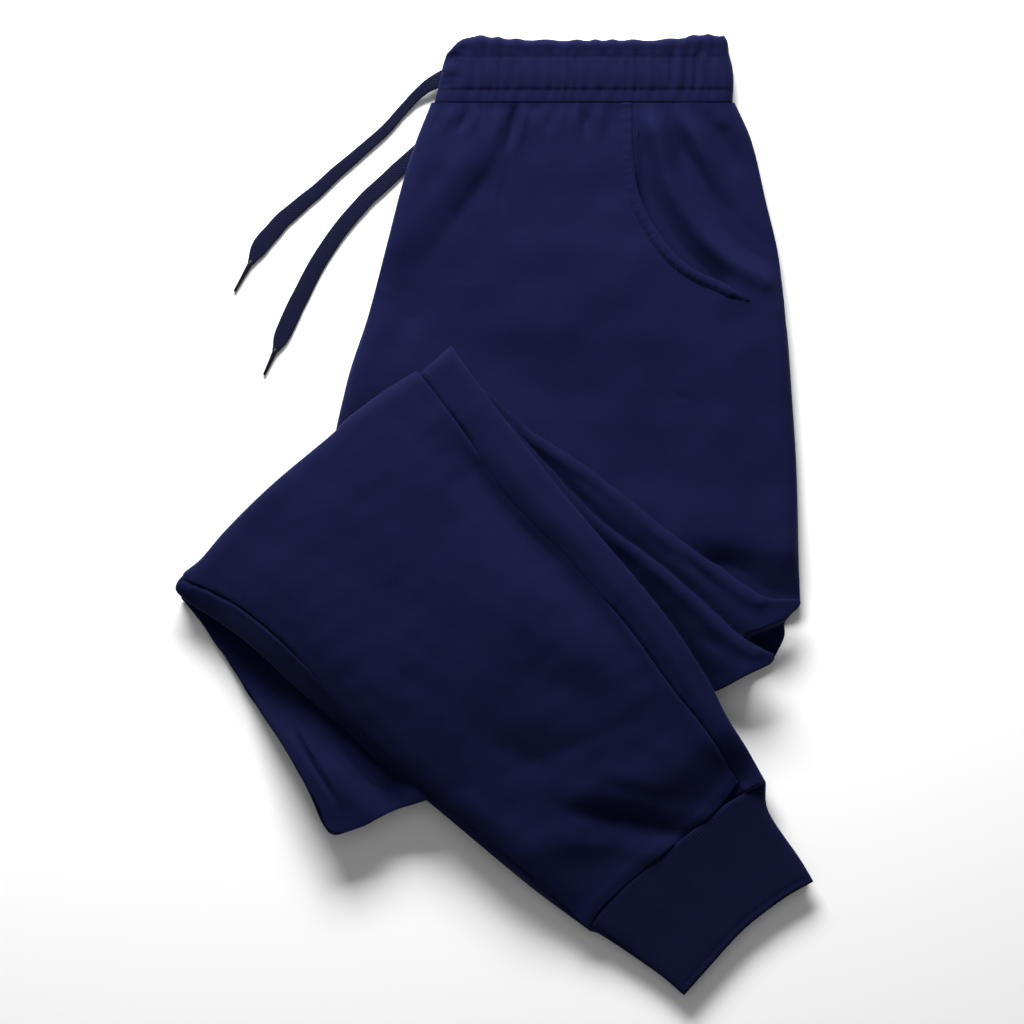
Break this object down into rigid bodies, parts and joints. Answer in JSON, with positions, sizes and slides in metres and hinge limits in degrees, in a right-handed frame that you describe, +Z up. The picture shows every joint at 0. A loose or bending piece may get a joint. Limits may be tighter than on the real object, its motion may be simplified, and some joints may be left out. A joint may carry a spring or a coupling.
{
  "type": "jogger sweatpants, folded",
  "caption": "Elastic-waist jogger sweatpants with ribbed ankle cuffs, a side pocket and a free drawcord, folded in half and in on themselves to lie flat.",
  "frame": {"origin": "middle of the folded garment's underside, on the surface that it lies on", "axes": "+X towards the side seam of the folded seat, +Y towards the waistband, +Z up"},
  "size_m": [0.413, 0.621, 0.046],
  "materials": {
    "panel_fleece": "matte brushed fleece, navy",
    "pocket_fleece": "matte brushed fleece, navy",
    "waistband_casing": "matte fleece over elastic, navy",
    "cuff_rib": "matte rib knit, navy",
    "drawcord_cotton": "matte flat braid, dark navy",
    "tip_plastic": "satin, near black"
  },
  "bodies": {
    "root": {"front_panel": "panel_fleece", "pocket_facing": "pocket_fleece", "pocket_hem": "pocket_fleece", "seat_layers": "panel_fleece", "waistband": "waistband_casing", "waist_layers": "waistband_casing", "fold_left": "panel_fleece", "fold_right": "panel_fleece", "leg_back": "panel_fleece", "leg_front": "panel_fleece", "cuff_right": "cuff_rib", "cuff_left": "cuff_rib", "drawcord_upper": "drawcord_cotton", "drawcord_lower": "drawcord_cotton", "tip_upper": "tip_plastic", "tip_lower": "tip_plastic"}
  },
  "joints": []
}
